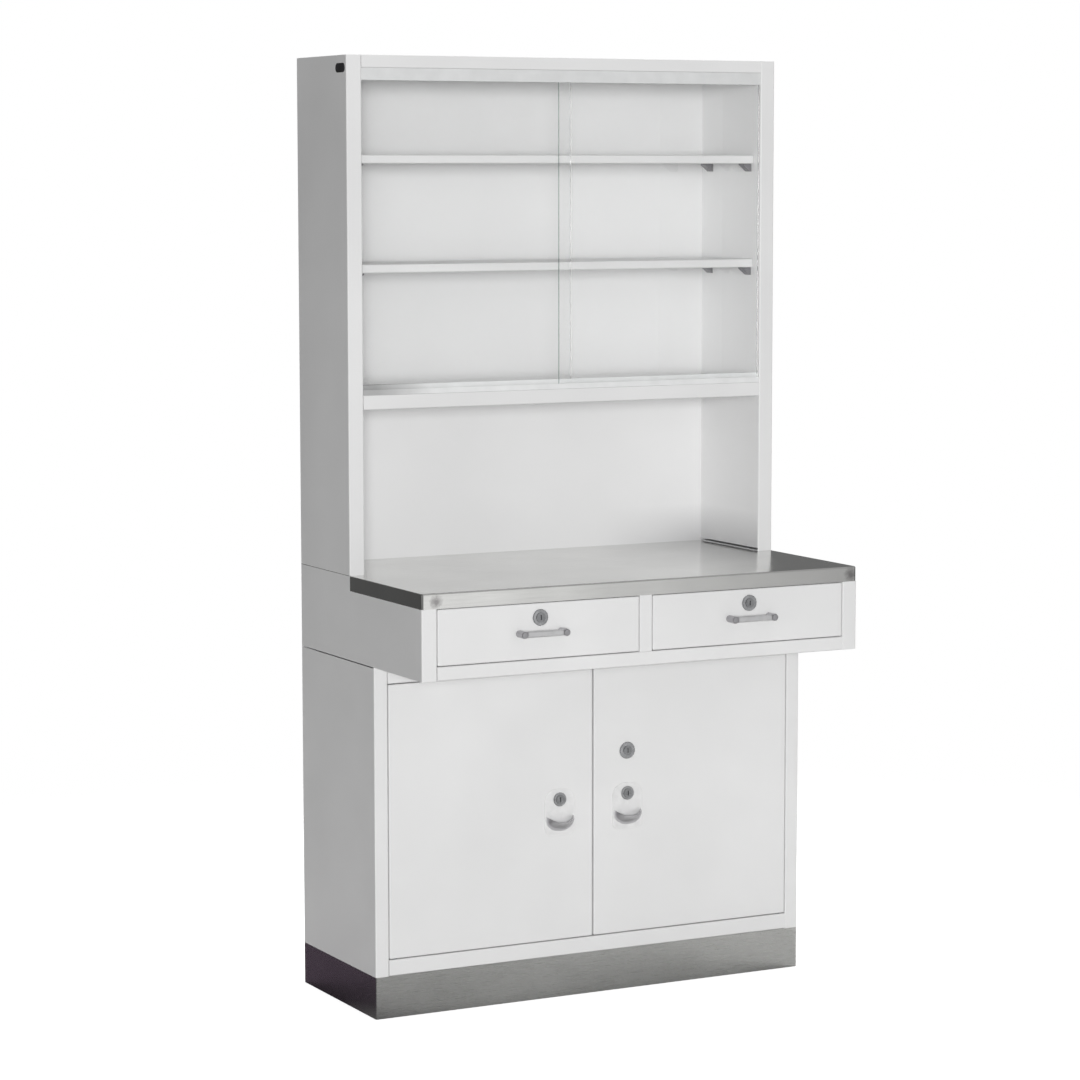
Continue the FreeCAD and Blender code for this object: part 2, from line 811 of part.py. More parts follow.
def worktop_board():
    """Board under the stainless skin."""
    x = half_width - sheet
    front = top_depth - sheet
    corner = worktop_corner - sheet
    board = in_plan([(-x, panel_front, 0), (x, panel_front, 0), (x, front, corner), (-x, front, corner)],
                    board_bottom, worktop_height - sheet)
    rim = [edge for edge in board.Edges
           if abs(edge.BoundBox.Center.z - worktop_height + sheet) < slack
           and edge.BoundBox.Center.y < at(panel_front + overrun)]
    board = board.makeFillet(worktop_nose - sheet, rim)
    return board.cut(upper_bolt_holes())


# Upper case

def upper_side():
    """Left side, boxed: outer wall, front stile and inner wall in one sheet, on a foot plate.

    The inner wall ends a slit above the worktop."""
    path = [(-upper_opening_half, panel_front), (-upper_opening_half, upper_depth),
            (-half_width, upper_depth), (-half_width, 0), (rear_flange - half_width, 0)]
    side = in_plan(fold(path), worktop_height, height - sheet)
    foot = block(sheet - half_width, -upper_opening_half - sheet, panel_front, upper_depth - sheet,
                 worktop_height, worktop_height + sheet)
    side = joined(side, foot)
    side = side.cut(side_plug_opening()).cut(upper_bolt_holes())
    slit_bottom = worktop_height + sheet
    side = side.cut(block(-upper_opening_half - sheet - slack, -upper_opening_half + overrun, panel_front,
                          upper_depth - bend, slit_bottom, slit_bottom + upper_foot_slit))
    for z in (shelf_upper_top, shelf_lower_top):
        for depth in (clip_back_place, clip_front_place):
            side = side.cut(clip_peg(depth, z - case_shelf_lip, clip_peg_radius + hole_gap, overrun))
    return side


def upper_back():
    end = half_width - bend
    return block(-end, end, panel_back, panel_front, worktop_height, height - sheet)


def upper_top():
    """Lid with the front rail hung under it."""
    lid_points = [(-half_width, 0, bend), (half_width, 0, bend),
                  (half_width, upper_depth, bend), (-half_width, upper_depth, bend)]
    lid = in_plan(lid_points, height - sheet, height)
    rim = [edge for edge in lid.Edges if abs(edge.BoundBox.Center.z - height) < slack]
    lid = lid.makeFillet(lid_edge, rim)
    path = [(upper_frame_back, upper_top_rail_foot + frame_lip), (upper_frame_back, upper_top_rail_foot),
            (upper_depth, upper_top_rail_foot), (upper_depth, height - sheet)]
    return joined(lid, in_section(fold(path), -upper_opening_half, upper_opening_half))


def case_floor():
    rail_foot = case_floor_top - case_rail
    path = [(upper_frame_back, rail_foot + frame_lip), (upper_frame_back, rail_foot),
            (upper_depth, rail_foot), (upper_depth, case_floor_top),
            (panel_front, case_floor_top), (panel_front, case_floor_top - frame_lip)]
    return in_section(fold(path), -upper_opening_half, upper_opening_half)


def case_shelf(top):
    foot = top - case_shelf_lip
    end = upper_opening_half - shelf_end_gap
    path = [(case_shelf_front - case_shelf_return, foot), (case_shelf_front, foot),
            (case_shelf_front, top), (case_shelf_back, top), (case_shelf_back, foot)]
    return shelf_with_ends(path, end, case_shelf_back, case_shelf_front, foot, top)


def clip_peg(depth, top, radius, further):
    """Round peg through the inner wall of the left side."""
    start = vec(-upper_opening_half - clip_peg_length - further, at(depth), top - clip_height / 2)
    return Part.makeCylinder(radius, clip_peg_length + 2 * further, start, vec(1, 0, 0))


def wedge_clip(wall_x, depth, top):
    """Shelf rest: a ledge on a tapering gusset."""
    points = [(wall_x, top - clip_height, 0), (wall_x + clip_plate, top - clip_height, 0),
              (wall_x + clip_reach, top - clip_plate, 0), (wall_x + clip_reach, top, 0), (wall_x, top, 0)]
    return in_elevation(points, depth - clip_width / 2, depth + clip_width / 2)


def shelf_clips():
    """Four clips for each shelf of the glazed case, pegged into the walls, and four in the cupboard."""
    clips = []
    for depth in (clip_back_place, clip_front_place):
        for top in (shelf_upper_top - case_shelf_lip, shelf_lower_top - case_shelf_lip):
            clip = joined(wedge_clip(-upper_opening_half, depth, top),
                          clip_peg(depth, top, clip_peg_radius, 0))
            clips += [clip, mirrored(clip)]
    for depth in (clip_back_place, cupboard_shelf_front - clip_back_place):
        clip = wedge_clip(sheet - half_width, depth, cupboard_shelf_top - cupboard_shelf_lip)
        clips += [clip, mirrored(clip)]
    return clips


def track_front():
    return upper_depth - track_setback


def track_back():
    return track_front() - track_depth


def groove_width():
    lip_count = groove_count + 1
    return (track_depth - lip_count * track_lip) / groove_count


def track_lips():
    """Front faces of the rear, middle and front lips."""
    step = groove_width() + track_lip
    return [track_back() + track_lip + step * index for index in range(groove_count + 1)]


def glass_track_top():
    """Two grooves that open downward, under the top rail."""
    half = upper_opening_half - slack
    web_foot = upper_top_rail_foot - track_web
    track = block(-half, half, track_back(), track_front(), web_foot, upper_top_rail_foot)
    for front in track_lips():
        lip = block(-half, half, front - track_lip, front, upper_top_rail_foot - top_track_height, web_foot)
        track = track.fuse(lip)
    return track.removeSplitter()


def glass_track_bottom():
    """Two grooves that open upward, with a lower front lip, on the case floor."""
    half = upper_opening_half - slack
    web_top = case_floor_top + track_web
    track = block(-half, half, track_back(), track_front(), case_floor_top, web_top)
    tops = [bottom_track_height, bottom_track_height, bottom_track_front_lip]
    for front, tall in zip(track_lips(), tops):
        track = track.fuse(block(-half, half, front - track_lip, front, web_top, case_floor_top + tall))
    return track.removeSplitter()


def glass_pane(x0, x1, groove):
    """Pane with ground edges, in groove 0 at the rear or groove 1 at the front."""
    middle = track_lips()[groove] + groove_width() / 2
    foot = case_floor_top + track_web + glass_foot_gap
    top = upper_top_rail_foot - top_track_height + glass_top_engagement
    return rounded_box(x0, x1, middle - glass_thickness / 2, middle + glass_thickness / 2, foot, top,
                       glass_edge_round, lambda point: False)


def glass_end():
    return upper_opening_half - glass_end_gap


def side_plug_slot(length, tall, x0, x1):
    z = height - side_plug_below_top
    return in_section(slot_points(side_plug_depth_place, z, length, tall), x0, x1)


def side_plug_opening():
    return side_plug_slot(side_plug_length, side_plug_height, -half_width - overrun, sheet - half_width)


def side_plugs():
    """Flush oblong plugs that are pushed into the side walls from within."""
    neck = side_plug_slot(side_plug_length - 2 * running_gap, side_plug_height - 2 * running_gap,
                          -half_width, sheet - half_width)
    rim = side_plug_slot(side_plug_length + 2 * side_plug_rim, side_plug_height + 2 * side_plug_rim,
                         sheet - half_width, side_plug_thickness - half_width)
    plug = joined(neck, rim)
    return [plug, mirrored(plug)]


# Bolts between the modules

def module_bolt_places():
    front = base_depth - frame_return / 2
    back = panel_front + rear_flange / 2
    return [(x, depth) for x in (-module_bolt_place, module_bolt_place) for depth in (back, front)]


def upper_bolt_places():
    x = half_width - upper_stile / 2
    return [(side * x, depth) for side in (-1, 1) for depth in (upper_bolt_back, upper_bolt_front)]


def bolt_holes(places, z0, z1):
    holes = [upright(x, depth, z0, z1, bolt_radius + hole_gap) for x, depth in places]
    return Part.makeCompound(holes)


def module_bolt_holes():
    return bolt_holes(module_bolt_places(), drawer_unit_foot - overrun, drawer_unit_foot + overrun)


def upper_bolt_holes():
    return bolt_holes(upper_bolt_places(), board_bottom - overrun, worktop_height + overrun)


def bolt(x, depth, grip_foot, grip_top):
    """Hexagon bolt from above with its nut below."""
    head = upright_hexagon(x, depth, bolt_flats, grip_top, grip_top + bolt_head_height)
    shank = upright(x, depth, grip_foot - bolt_head_height, grip_top, bolt_radius)
    nut = upright_hexagon(x, depth, bolt_flats, grip_foot - bolt_head_height, grip_foot)
    nut = nut.cut(upright(x, depth, grip_foot - bolt_head_height - overrun, grip_foot + overrun,
                          bolt_radius + running_gap))
    return [joined(head, shank), nut]


def module_bolts():
    pieces = []
    for x, depth in module_bolt_places():
        pieces += bolt(x, depth, drawer_unit_foot - sheet, drawer_unit_foot + sheet)
    for x, depth in upper_bolt_places():
        pieces += bolt(x, depth, board_bottom, worktop_height + sheet)
    return pieces


def build():
    """Every node of the cabinet by its name."""
    door_seat = base_depth - door_thickness
    post_back = door_frame_back - post_depth
    door_face = base_depth
    cup_face = base_depth + cup_plate_thickness
    nodes = {
        "plinth_skirt": plinth_skirt(),
        "base_side_left": base_side(),
        "base_side_right": mirrored(base_side()),
        "base_back": base_back(),
        "base_floor": base_floor(),
        "base_top_rail": base_top_rail_piece(),
        "door_centre_post": door_centre_post(),
        "base_shelf": base_shelf(),
        "hinge_pins": hinge_pins(),
        "drawer_unit_side_left": drawer_unit_side(),
        "drawer_unit_side_right": mirrored(drawer_unit_side()),
        "drawer_unit_back": drawer_unit_back(),
        "drawer_unit_floor": drawer_unit_floor(),
        "drawer_unit_top_rail": drawer_unit_top_rail(),
        "drawer_partition": drawer_partition(),
        "drawer_runners": drawer_runners(),
        "worktop_skin": worktop_skin(),
        "worktop_board": worktop_board(),
        "upper_side_left": upper_side(),
        "upper_side_right": mirrored(upper_side()),
        "upper_back": upper_back(),
        "upper_top": upper_top(),
        "case_floor": case_floor(),
        "shelf_upper": case_shelf(shelf_upper_top),
        "shelf_lower": case_shelf(shelf_lower_top),
        "shelf_clips": shelf_clips(),
        "glass_track_top": glass_track_top(),
        "glass_track_bottom": glass_track_bottom(),
        "left_glass_door": glass_pane(-glass_end(), glass_overlap / 2, 0),
        "right_glass_door": glass_pane(-glass_overlap / 2, glass_end(), 1),
        "side_plugs": side_plugs(),
        "module_bolts": module_bolts(),
        "left_door_shell": left_door_shell([pull_lock_height]),
        "left_door_liner": left_door_liner([pull_lock_height]),
        "right_door_shell": mirrored(left_door_shell([pull_lock_height, door_lock_height])),
        "right_door_liner": mirrored(left_door_liner([pull_lock_height, door_lock_height])),
        "left_cup_pull": cup_pull(-cup_from_meeting_line),
        "right_cup_pull": cup_pull(cup_from_meeting_line),
        "left_drawer_front": left_drawer_front(),
        "right_drawer_front": mirrored(left_drawer_front()),
        "left_drawer_tray": left_drawer_tray(),
        "right_drawer_tray": [mirrored(sheet_piece) for sheet_piece in left_drawer_tray()],
    }
    left_pull = left_drawer_pull()
    nodes["left_drawer_pull"] = left_pull
    nodes["right_drawer_pull"] = [mirrored(piece) for piece in left_pull]
    pointing_down = -90
    pointing_right = 0
    drawer_seat = drawer_front_back() - sheet
    rail_lip_back = top_rail_front - frame_return
    locks = {
        "left_pull_lock": (-cup_from_meeting_line, pull_lock_height, cup_face, door_seat, post_back,
                           pull_lock_radius, door_cam_reach, pointing_down),
        "right_pull_lock": (cup_from_meeting_line, pull_lock_height, cup_face, door_seat, post_back,
                            pull_lock_radius, door_cam_reach, pointing_down),
        "door_lock": (cup_from_meeting_line, door_lock_height, door_face, door_seat, post_back,
                      door_lock_radius, door_cam_reach, pointing_down),
        "left_drawer_lock": (-drawer_centre(), drawer_lock_height(), top_depth, drawer_seat,
                             rail_lip_back, drawer_lock_radius, drawer_cam_reach, pointing_right),
        "right_drawer_lock": (drawer_centre(), drawer_lock_height(), top_depth, drawer_seat,
                              rail_lip_back, drawer_lock_radius, drawer_cam_reach, pointing_right),
    }
    for name, sizes in locks.items():
        case, core, cam = lock_set(*sizes)
        nodes[name + "_case"] = case
        nodes[name + "_core"] = core
        nodes[name + "_cam"] = cam
    return nodes


os.makedirs("parts", exist_ok=True)
for node, shape in build().items():
    if isinstance(shape, list):
        shape = Part.makeCompound(shape)
    shape.exportStep("parts/" + node + ".step")
    print(node, len(shape.Solids), "solid(s)", "valid" if shape.isValid() else "not valid")
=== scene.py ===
import math

import bmesh
import bpy
from mathutils import Euler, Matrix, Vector


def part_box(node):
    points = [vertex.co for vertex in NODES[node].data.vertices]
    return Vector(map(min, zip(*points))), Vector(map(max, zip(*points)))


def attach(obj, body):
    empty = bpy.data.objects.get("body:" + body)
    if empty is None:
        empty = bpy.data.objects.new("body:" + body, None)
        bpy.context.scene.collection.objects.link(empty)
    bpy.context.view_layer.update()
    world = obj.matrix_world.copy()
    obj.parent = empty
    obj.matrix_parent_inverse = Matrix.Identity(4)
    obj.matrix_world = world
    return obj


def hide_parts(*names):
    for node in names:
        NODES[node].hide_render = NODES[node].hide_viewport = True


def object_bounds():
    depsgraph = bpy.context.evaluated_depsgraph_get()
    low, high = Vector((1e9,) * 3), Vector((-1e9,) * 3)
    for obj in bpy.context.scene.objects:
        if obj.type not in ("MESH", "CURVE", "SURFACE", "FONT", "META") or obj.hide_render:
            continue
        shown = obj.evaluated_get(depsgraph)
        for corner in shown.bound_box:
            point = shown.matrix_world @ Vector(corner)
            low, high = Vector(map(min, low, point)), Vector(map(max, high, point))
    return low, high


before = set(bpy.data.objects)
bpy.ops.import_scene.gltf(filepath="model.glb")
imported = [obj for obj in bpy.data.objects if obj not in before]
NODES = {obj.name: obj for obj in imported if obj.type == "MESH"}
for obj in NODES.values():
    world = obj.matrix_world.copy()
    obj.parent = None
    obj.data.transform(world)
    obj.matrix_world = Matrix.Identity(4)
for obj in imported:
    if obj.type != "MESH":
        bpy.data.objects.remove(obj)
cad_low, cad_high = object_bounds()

bl_info = {
    "name": "Medical cabinet",
    "version": (1, 0, 0),
    "blender": (4, 5, 0),
    "location": "3D View > Sidebar > Cabinet",
    "description": "Finishes for a white steel medical cabinet with a stainless worktop",
    "category": "Object",
}

MM = 0.001

SHEET_NODES = (
    "base_side_left", "base_side_right", "base_back", "base_floor", "base_top_rail",
    "door_centre_post", "base_shelf", "drawer_unit_side_left", "drawer_unit_side_right",
    "drawer_unit_back", "drawer_unit_floor", "drawer_unit_top_rail", "drawer_partition",
    "upper_top", "case_floor", "shelf_upper", "shelf_lower",
    "left_door_shell", "left_door_liner", "right_door_shell", "right_door_liner",
    "left_drawer_front", "right_drawer_front", "left_drawer_tray", "right_drawer_tray",
)
LOCKS = {"left_pull_lock": "left_door", "right_pull_lock": "right_door",
         "door_lock": "right_door", "left_drawer_lock": "left_drawer",
         "right_drawer_lock": "right_drawer"}
PULLS = {"left_cup_pull": "left_door", "right_cup_pull": "right_door",
         "left_drawer_pull": "left_drawer", "right_drawer_pull": "right_drawer"}

# The middle part of a noise texture's range, where nearly all of its values lie.
NOISE_LOW, NOISE_HIGH = 0.3, 0.7

# Lighter enamel for the glazed case's back: painted light.
CASE_BACK_PAINTED_LIGHT = ("#EBEBEB", "#E7E7E7")
WORKTOP_STEEL = ("#DDDDDB", "#D3D3D1")
PLINTH_STEEL = ("#D6D6D5", "#CBCBCA")
LOCK_CASE_CHROME = ("#BBBCBE", "#A9AAAC")
LOCK_PLUG_CHROME = ("#A6A7A9", "#939496")
# Pale pearl chrome of the cup pulls, and the grey of the painted shade on their cups.
CUP_PEARL, CUP_PAINTED_SHADE = ("#EFEFEF", "#E6E6E6"), "#D0CFD2"
# Pale pearl chrome of the bar pulls, and the grey of the painted shade on their posts.
BAR_PEARL, BAR_PAINTED_SHADE = ("#D6D6D7", "#CCCCCD"), "#B2B1B4"
ZINC = ("#A9ADB0", "#8D9296")
TOP_TRACK = ("#DADBDB", "#D2D3D3")
BOTTOM_TRACK = ("#E6E7E7", "#DEDFDF")
CLIP_GREY = ("#77767A", "#69686C")
PLUG_BLACK = ("#3A3A3C", "#2C2C2E")
CHIPS = ("#B89A72", "#8C6F4B")
# Grey of the painted shade at the foot of the niche's right corner.
CORNER_SHADE_GREY = "#A0A0A2"
# Dark grey of the painted shade at the left end of the bottom track's groove.
GROOVE_SHADE_GREY = "#454344"
HEAT_TINT = "#4A4247"
MIRRORED_FLOOR = ("#4C3F4C", "#CECECC")
THROWN_FLOOR, SEEN_FLOOR = "#C6C6C5", "#F6F6F5"
WHITE = "#FFFFFF"

# Welded corners of the worktop's apron: place along X and reach of the heat tint, in mm.
WELDS = ((-422, 14), (438, 17))
WELD_HEIGHT = 791 * MM
WELD_SETBACK = 25 * MM

SENSOR_WIDTH_MM = 36.0
CAMERA_REACH = 100.0
FLOOR_SEGMENTS = 96
SOFT_BOX_WIDTH = 2.4
SOFT_BOX_TARGET = (0, 0, 0.9)
SOFT_BOXES = {
    "main_soft_box": ((-5.1, -10.7, 1.9), "main_power"),
    "side_soft_box": ((-5.6, -2.4, 1.2), "side_power"),
    "back_soft_box": ((4.0, 3.4, 2.6), "back_power"),
    "top_soft_box": ((0.2, 0.9, 5.0), "top_power"),
}
# Soft lobes of room light: where each comes from, its brightness setting and its sharpness.
ROOM_LOBES = (
    ((-1, 0, 0), "room_left", 1.0),
    ((0, -1, 0), "room_front", 1.0),
    ((0.35, -0.2, 0.92), "room_above", 3.0),
    ((0.27, -0.955, -0.11), "room_patch", 20.0),
    ((0.4, 0.9, 0.15), "room_behind", 1.5),
    ((-0.989, 0, 0.148), "room_sides", 20.0),
    ((0.989, 0, 0.148), "room_sides", 20.0),
)


def linear(hex_colour):
    """sRGB hex to the linear RGBA that a shader socket takes."""
    channels = [int(hex_colour[i:i + 2], 16) / 255 for i in (1, 3, 5)]
    return [c / 12.92 if c <= 0.04045 else ((c + 0.055) / 1.055) ** 2.4 for c in channels] + [1.0]


def per(size_mm):
    """Texture scale of a pattern whose features are this many millimetres apart."""
    return 1000.0 / size_mm


def feed(tree, socket, value):
    """Links a socket to the input, or sets any other value on it."""
    if isinstance(value, bpy.types.NodeSocket):
        tree.links.new(value, socket)
    else:
        socket.default_value = value


def add_node(tree, kind, inputs=None, **settings):
    """Adds a node with its settings and feeds its inputs."""
    node = tree.nodes.new(kind)
    for name, value in settings.items():
        setattr(node, name, value)
    for name, value in (inputs or {}).items():
        feed(tree, node.inputs[name], value)
    return node


def new_material(name):
    """An empty node material, its tree and the socket with the object's coordinates."""
    material = bpy.data.materials.new(name)
    material.use_nodes = True
    tree = material.node_tree
    tree.nodes.clear()
    return material, tree, add_node(tree, "ShaderNodeTexCoord").outputs["Object"]


def finish_material(tree, inputs):
    """Adds the shader with these inputs and the material's output."""
    shader = add_node(tree, "ShaderNodeBsdfPrincipled", inputs).outputs["BSDF"]
    add_node(tree, "ShaderNodeOutputMaterial", {"Surface": shader})


def maths(tree, operation, *values):
    """One step of arithmetic on sockets or plain numbers."""
    return add_node(tree, "ShaderNodeMath", dict(enumerate(values)),
                    operation=operation).outputs["Value"]


def vector_maths(tree, operation, *values):
    """One step of vector arithmetic whose result is a number."""
    return add_node(tree, "ShaderNodeVectorMath", dict(enumerate(values)),
                    operation=operation).outputs["Value"]


def product(tree, *values):
    total = values[0]
    for value in values[1:]:
        total = maths(tree, "MULTIPLY", total, value)
    return total


def ramp(tree, value, start, end, low=0.0, high=1.0, **settings):
    """Straight rise from low at start to high at end, level outside them."""
    return add_node(tree, "ShaderNodeMapRange", {
        "Value": value, "From Min": start, "From Max": end, "To Min": low, "To Max": high},
        **settings).outputs["Result"]


def noise(tree, place, size_mm, detail):
    """Smooth noise whose lumps are of a real size."""
    return add_node(tree, "ShaderNodeTexNoise", {
        "Vector": place, "Scale": per(size_mm), "Detail": detail}).outputs["Fac"]


def stirred(tree, place, size_mm, low, high):
    """Noise of a real size, spread between two values."""
    return ramp(tree, noise(tree, place, size_mm, 2.0), NOISE_LOW, NOISE_HIGH, low, high)


def blended(tree, factor, first, second):
    """Mix of two colours, each a socket or an sRGB hex."""
    mix = add_node(tree, "ShaderNodeMix", {"Factor": factor}, data_type="RGBA")
    for socket, colour in ((mix.inputs[6], first), (mix.inputs[7], second)):
        feed(tree, socket, linear(colour) if isinstance(colour, str) else colour)
    return mix.outputs[2]


def bump(tree, height, depth_mm, strength, under=None):
    """Relief of a real depth, laid over the relief under it."""
    inputs = {"Height": height, "Distance": depth_mm * MM, "Strength": strength}
    if under:
        inputs["Normal"] = under
    return add_node(tree, "ShaderNodeBump", inputs).outputs["Normal"]


def parts_of(tree, vector):
    return add_node(tree, "ShaderNodeSeparateXYZ", {"Vector": vector}).outputs


def face_normal(tree):
    return parts_of(tree, add_node(tree, "ShaderNodeNewGeometry").outputs["True Normal"])


def inner_wall(tree, place, normal):
    """1 on the glazed case's inner side walls, 0 on its outer walls and its front frame."""
    outer_skin, hollow = 5 * MM, 10 * MM
    inside = ramp(tree, maths(tree, "ABSOLUTE", place["X"]),
                  cad_high.x - outer_skin, cad_high.x - hollow)
    return product(tree, inside, maths(tree, "ABSOLUTE", normal["X"]))


def painted_corner_shade(tree, place, normal):
    """Rises to its full weight at the foot of the niche's right corner: painted shade, a grey
    darkening of both walls that stands in for the shade in that corner."""
    full_weight, starts, full = 0.55, 180 * MM, 400 * MM
    height, darkest_height = 75 * MM, 3 * MM
    frame_skin, frame_hollow = 2 * MM, 6 * MM
    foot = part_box("worktop_skin")[1].z
    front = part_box("upper_side_right")[0].y
    low_down = ramp(tree, place["Z"], foot + height, foot + darkest_height)
    to_the_right = ramp(tree, place["X"], starts, full)
    behind_frame = ramp(tree, place["Y"], front + frame_skin, front + frame_hollow)
    inward = maths(tree, "ADD", normal["X"], normal["Y"])
    return product(tree, low_down, to_the_right, behind_frame,
                   ramp(tree, inward, 0.0, -1.0, 0.0, full_weight))


def baked_enamel(name, colours, inside_painted_light=None):
    """White baked enamel on folded steel sheet: semi-gloss, a faint orange peel, and wide flat
    sheets that are never quite true, so soft highlights waver over them. When a lighter white is
    given for inside the glazed case, its inner walls get that white as painted light, and the foot
    of the niche's right corner gets a painted grey shade."""
    cloud_mm, wear_mm, waver_mm, peel_mm = 240, 90, 190, 2.2
    material, tree, place = new_material(name)
    colour = blended(tree, stirred(tree, place, cloud_mm, 0.0, 1.0), *colours)
    # Painted light on the glazed case's inner walls, then painted shade at the foot of the niche's
    # right corner.
    if inside_painted_light:
        parts, normal = parts_of(tree, place), face_normal(tree)
        colour = blended(tree, inner_wall(tree, parts, normal), colour, inside_painted_light)
        colour = blended(tree, painted_corner_shade(tree, parts, normal), colour, CORNER_SHADE_GREY)
    wide = bump(tree, noise(tree, place, waver_mm, 1.0), 3.5, 0.5)
    fine = bump(tree, noise(tree, place, peel_mm, 1.0), 0.03, 0.5, wide)
    finish_material(tree, {
        "Base Color": colour, "Roughness": stirred(tree, place, wear_mm, 0.30, 0.40),
        "Normal": fine, "IOR": 1.5, "Specular IOR Level": 0.45})
    return material


def brushed_lines(tree, place, length_mm, line_mm):
    """Streaks that run along X: long in X, hair-fine across."""
    stretched = add_node(tree, "ShaderNodeMapping", {
        "Vector": place, "Scale": (per(length_mm), per(line_mm), per(line_mm))})
    return add_node(tree, "ShaderNodeTexNoise", {
        "Vector": stretched.outputs["Vector"], "Scale": 1.0, "Detail": 3.0}).outputs["Fac"]


def heat_tint(tree, place, colour):
    """The straw-to-violet tint round each welded corner of the apron, ragged at its rim."""
    core_mm, rag_mm, ragged_by, strength = 3, 7, 2 * MM, 0.6
    for weld_x, spread_mm in WELDS:
        weld = (weld_x * MM, cad_low.y + WELD_SETBACK, WELD_HEIGHT)
        reach = maths(tree, "ADD", vector_maths(tree, "DISTANCE", place, weld),
                      stirred(tree, place, rag_mm, -ragged_by, ragged_by))
        heat = ramp(tree, reach, core_mm * MM, spread_mm * MM, strength, 0.0)
        colour = blended(tree, heat, colour, HEAT_TINT)
    return colour


def satin_stainless(name, colours, rough_span, tinted=False):
    """Satin rolled stainless: fine lines along the sheet, cloudy wiping marks, and at welded
    corners the straw-to-violet heat tint that the weld leaves."""
    streak_mm, line_mm, cloud_mm = 60, 0.9, 130
    material, tree, place = new_material(name)
    lines = brushed_lines(tree, place, streak_mm, line_mm)
    colour = blended(tree, stirred(tree, place, cloud_mm, 0.0, 1.0), *colours)
    if tinted:
        colour = heat_tint(tree, place, colour)
    finish_material(tree, {
        "Base Color": colour, "Metallic": 1.0, "Normal": bump(tree, lines, 0.02, 0.15),
        "Roughness": ramp(tree, lines, NOISE_LOW, NOISE_HIGH, *rough_span)})
    return material


def plated_chrome(name, colours):
    """Chromium plate on a die casting: near-mirror, dulled in clouds by handling."""
    cloud_mm, dull_mm, grain_mm = 9, 5, 4
    material, tree, place = new_material(name)
    finish_material(tree, {
        "Base Color": blended(tree, stirred(tree, place, cloud_mm, 0.0, 1.0), *colours),
        "Metallic": 1.0, "Roughness": stirred(tree, place, dull_mm, 0.24, 0.36),
        "Normal": bump(tree, noise(tree, place, grain_mm, 1.0), 0.02, 0.2)})
    return material


def pearl_chrome(name, painted_shade_place, pale_colours, painted_shade_colour, sheen):
    """Pearl chrome on a zinc casting: satin and nearly as pale as the enamel, with painted shade:
    the parts where the casting stands out are dull grey nickel, standing in for their shade."""
    cloud_mm, dull_mm, painted_shade_sheen = 14, 6, 0.9
    material, tree, place = new_material(name)
    painted_shade = painted_shade_place(tree, parts_of(tree, place))
    pale = blended(tree, stirred(tree, place, cloud_mm, 0.0, 1.0), *pale_colours)
    finish_material(tree, {
        "Base Color": blended(tree, painted_shade, pale, painted_shade_colour),
        "Metallic": ramp(tree, painted_shade, 0.0, 1.0, sheen, painted_shade_sheen),
        "Roughness": stirred(tree, place, dull_mm, 0.28, 0.38)})
    return material


def cup_stands_out(tree, place):
    """Where the painted shade goes: 1 on the finger cup, 0 on the flat plate behind it."""
    plate_depth, cup_depth = 2 * MM, 6 * MM
    plate_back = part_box("left_cup_pull")[1].y
    return ramp(tree, place["Y"], plate_back - plate_depth, plate_back - cup_depth)


def posts_of_bar(tree, place):
    """Where the painted shade goes: 1 on the two round posts of each drawer pull, 0 along its bar.
    """
    bar_end, post_start = 33 * MM, 37 * MM
    low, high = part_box("right_drawer_pull")
    across = maths(tree, "ABSOLUTE", place["X"])
    off_centre = maths(tree, "ABSOLUTE", maths(tree, "SUBTRACT", across, (low.x + high.x) / 2))
    return ramp(tree, off_centre, bar_end, post_start)


def zinc_plate():
    """Bright zinc plate on runners, bolts, pins and cams: grey spangle with a soft sheen."""
    spangle_mm, dull_mm = 4, 6
    material, tree, place = new_material("zinc_plated_steel")
    cells = add_node(tree, "ShaderNodeTexVoronoi", {"Vector": place, "Scale": per(spangle_mm)})
    finish_material(tree, {
        "Base Color": blended(tree, cells.outputs["Distance"], *ZINC),
        "Metallic": 1.0, "Roughness": stirred(tree, place, dull_mm, 0.35, 0.5)})
    return material


def float_glass(name, settings, far_edge_and_shade):
    """Clear soda-lime float glass, 5 mm: faint green, darkest along the ground edges; the edge that
    faces right has a weight of its own: nearly clear where it is seen through the other pane, and
    darker on the right pane as painted shade for the shadow between the pane and the stile."""
    ripple_mm, face_body, edge_body = 260, 0.09, 0.9
    edge_until, face_from = 0.35, 0.75
    right_from, right_full = 0.1, 0.4
    material, tree, place = new_material(name)
    facing = face_normal(tree)
    edge = ramp(tree, maths(tree, "ABSOLUTE", facing["Y"]), edge_until, face_from, 1.0, 0.0)
    far = ramp(tree, facing["X"], right_from, right_full, 1.0, far_edge_and_shade)
    ground = product(tree, edge, far)
    finish_material(tree, {
        "Base Color": blended(tree, ground, settings.glass_tint, settings.glass_edge),
        "Roughness": 0.0, "IOR": 1.45, "Transmission Weight": 1.0,
        "Alpha": ramp(tree, ground, 0.0, 1.0, face_body, edge_body),
        "Normal": bump(tree, noise(tree, place, ripple_mm, 0.0), 0.6, 0.3)})
    return material


def groove_painted_shade(tree, place):
    """Painted shade in the track's groove: 1 at the left end of the bottom track, half as much on
    its front half, 0 further right.
    """
    thick_until, gone_from, half_rib, front_share = 30 * MM, 150 * MM, 1 * MM, 0.5
    low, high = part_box("glass_track_bottom")
    middle = (low.y + high.y) / 2
    parts = parts_of(tree, place)
    rear = ramp(tree, parts["Y"], middle - half_rib, middle + half_rib, front_share, 1.0)
    end = ramp(tree, parts["X"], low.x + thick_until, low.x + gone_from, 1.0, 0.0)
    return product(tree, rear, end)


